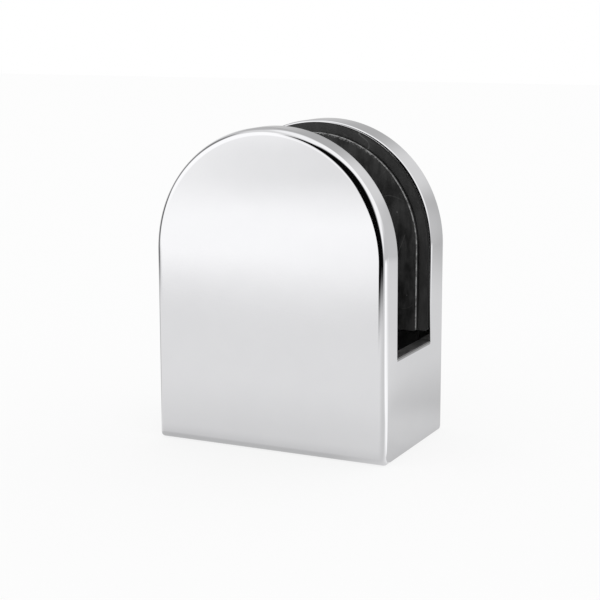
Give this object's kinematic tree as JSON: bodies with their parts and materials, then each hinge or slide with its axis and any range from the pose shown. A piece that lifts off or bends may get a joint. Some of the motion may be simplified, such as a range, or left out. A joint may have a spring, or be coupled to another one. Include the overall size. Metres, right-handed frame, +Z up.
{
  "type": "glass clamp",
  "caption": "Round-topped polished clamp for a glass pane: an open U-shaped casting with rubber pads and set screws that press the rear pad onto the glass.",
  "frame": {"origin": "middle of the flat base, level with what the clamp stands on", "axes": "+Z up along the sides to the round top; -Y out of the blank front face; +X to the right seen from the front, along the slot"},
  "size_m": [0.04, 0.025, 0.0512],
  "materials": {
    "polished_chrome": "bright chrome plating, mirror polished outside, duller in the slot",
    "black_rubber": "matt black moulded rubber",
    "zinc_plated_steel": "bright zinc plating",
    "screw_steel": "plain steel"
  },
  "bodies": {
    "casting": {"clamp_body": "polished_chrome", "front_pad": "black_rubber"},
    "pressure_unit": {"pressure_plate": "zinc_plated_steel", "rear_pad": "black_rubber"},
    "left_screw": {"set_screw_left": "screw_steel"},
    "right_screw": {"set_screw_right": "screw_steel"}
  },
  "joints": [
    {"name": "rear_pad_travel", "type": "slide", "parent": "casting", "child": "pressure_unit", "axis": [0, -1, 0], "range_m": [0, 0.002]},
    {"name": "set_screw_left_turn", "type": "hinge", "parent": "pressure_unit", "child": "left_screw", "pos_m": [-0.009, 0.00705, 0.03355], "axis": [0, -1, 0], "range_deg": [0, 720]},
    {"name": "set_screw_right_turn", "type": "hinge", "parent": "pressure_unit", "child": "right_screw", "pos_m": [0.009, 0.00705, 0.03355], "axis": [0, -1, 0], "range_deg": [0, 720]}
  ],
  "couplings": [
    {"joint": "set_screw_left_turn", "follows": "rear_pad_travel", "rad_per_m": 6283.2},
    {"joint": "set_screw_right_turn", "follows": "rear_pad_travel", "rad_per_m": 6283.2}
  ]
}
